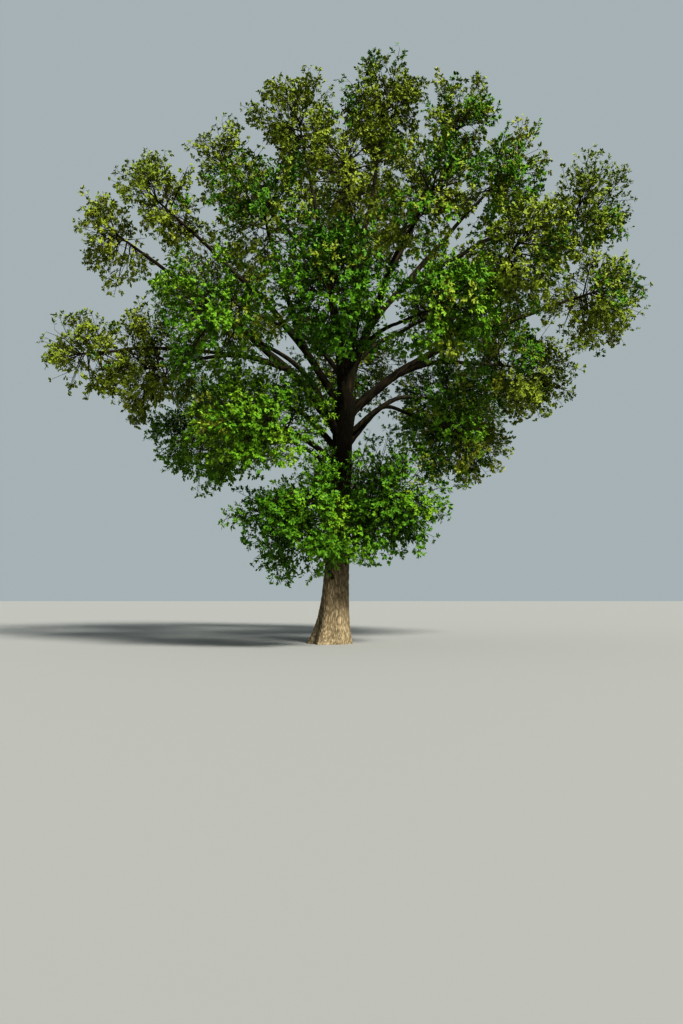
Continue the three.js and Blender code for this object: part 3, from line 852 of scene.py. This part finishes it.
def spray_colours(row, roots, random):
    """The number of each spray's leaf material. Tones drift slowly over the crown, and vary from spray to spray."""
    numbers = []
    for root in roots:
        tone_drift = noise.noise(Vector(root) * TONE_DRIFT_SCALE)
        fresh_drift = noise.noise(Vector(root) * FRESH_DRIFT_SCALE + FRESH_SHIFT)
        tone = MIDDLE_TONE + TONE_DRIFT * tone_drift + random.normal() * TONE_JITTER
        fresh = row["fresh"] > MIDDLE_FRESH + FRESH_DRIFT * fresh_drift + random.normal() * FRESH_JITTER
        tone = int(np.clip(round(tone), 0, len(OLIVE_LEAVES) - 1))
        numbers.append(tone + (len(OLIVE_LEAVES) if fresh else 0))
    return np.array(numbers)


def make_foliage(row, sprays, shoots, limbs, materials, random):
    """One mass's leaves, without those in wood, outside its outline or in its gaps."""
    spray_root, spray_direction, _, spray_length = sprays
    start, end, spray_number = shoots
    middle = spray_root + spray_direction * spray_length[:, None] * 0.5
    base, blade, normal, length = grow_leaves(row, start, end, middle[spray_number], random)
    tip = base + blade * length[:, None]
    margin = row["half"] * SPACE_EASE
    kept = leafy(row, tip) & clear_of_limbs(mix(base, tip, 0.5), limbs, row["at"] - margin, row["at"] + margin)
    colour = np.repeat(spray_colours(row, spray_root, random)[spray_number], LEAVES)[kept]
    places, triangles = leaf_mesh(base[kept], blade[kept], normal[kept], length[kept])
    add_piece(
        "foliage_" + row["name"], places, triangles, materials, "leaves_" + row["name"],
        material_numbers=np.repeat(colour, len(LEAF_FACES)),
    )


def straight_tubes(start, end, first_radius, last_radius, places, sides):
    """Tapering tubes from each start to each end."""
    share = np.linspace(0, 1, places)
    lines = mix(start[:, None], end[:, None], share[:, None])
    radii = np.broadcast_to(mix(first_radius, last_radius, share), lines.shape[:2])
    return many_tubes(lines, radii, sides)


def make_twigs(row, root, stem_end, stem_radius, twigs, sprays, shoots, bark):
    """One mass's stem, twigs, the twig of each spray as far as its last shoot, and shoots."""
    spray_root, spray_direction, _, _ = sprays
    start, end, spray_number = shoots
    twig_start, twig_end = (np.array(ends) for ends in zip(*twigs))
    reach = np.zeros(len(spray_root))
    np.maximum.at(reach, spray_number, np.linalg.norm(start - spray_root[spray_number], axis=1))
    spray_end = spray_root + spray_direction * reach[:, None]
    used = reach > 0
    places, triangles = joined(
        (
            straight_tubes(root[None], stem_end[None], stem_radius, STEM_END_RADIUS, STEM_PLACES, STEM_SIDES),
            straight_tubes(twig_start, twig_end, TWIG_ROOT_RADIUS, TWIG_END_RADIUS, TWIG_PLACES, TWIG_SIDES),
            straight_tubes(
                spray_root[used], spray_end[used], SPRAY_TWIG_RADIUS, SPRAY_TWIG_END, SPRAY_TWIG_PLACES,
                SPRAY_TWIG_SIDES,
            ),
            straight_tubes(start, end, SHOOT_RADIUS, 0, 2, SHOOT_SIDES),
        )
    )
    add_piece("twigs_" + row["name"], places, triangles, [bark], "leaves_" + row["name"])


def grow_mass(row, root, heading, stem_radius, limbs, bark, leaf_materials):
    """The leaves and the twigs of one mass."""
    random = np.random.default_rng(row["number"] + 1)
    stem_end, twigs, sprays = grow_sprays(row, root, heading)
    sprays = [np.array(values) for values in zip(*sprays)]
    start, end, spray_number = grow_shoots(sprays, random)
    kept = leafy(row, end)
    shoots = start[kept], end[kept], spray_number[kept]
    make_foliage(row, sprays, shoots, limbs, leaf_materials, random)
    make_twigs(row, root, stem_end, stem_radius, twigs, sprays, shoots, bark)


make_camera()
make_light()
make_floor()
trunk_bark = make_bark("trunk_bark", **TRUNK_COLOURS, moss_share=0.25, painted_shade_heights=PAINTED_SHADE_HEIGHTS)
# Limb bark, darkened partly as painted shade of the crown.
shaded_limb_bark = make_bark("shaded_limb_bark", **LIMB_SHADED_COLOURS, moss_share=0.5)
twig_bark = make_bark("twig_bark", **TWIG_COLOURS, moss_share=0.4)
leaf_materials = [
    new_material(f"{kind}_leaf_{tone}", {"Base Color": linear(colour), **LEAF_GLOSS})
    for kind, colours in (("olive", OLIVE_LEAVES), ("fresh", FRESH_LEAVES))
    for tone, colour in enumerate(colours)
]
make_trunk(trunk_bark)
tips, limbs = grow_boughs(shaded_limb_bark)
for row in CROWN:
    if row["name"] in tips:
        root, heading = tips[row["name"]]
        radius = STEM_ROOT_RADIUS
    else:
        root = TRUNK_LINE.at(row["share"])
        heading = unit(row["at"] - root)
        radius = TRUNK_STEM_RADIUS
    grow_mass(row, root, heading, radius, limbs, twig_bark, leaf_materials)
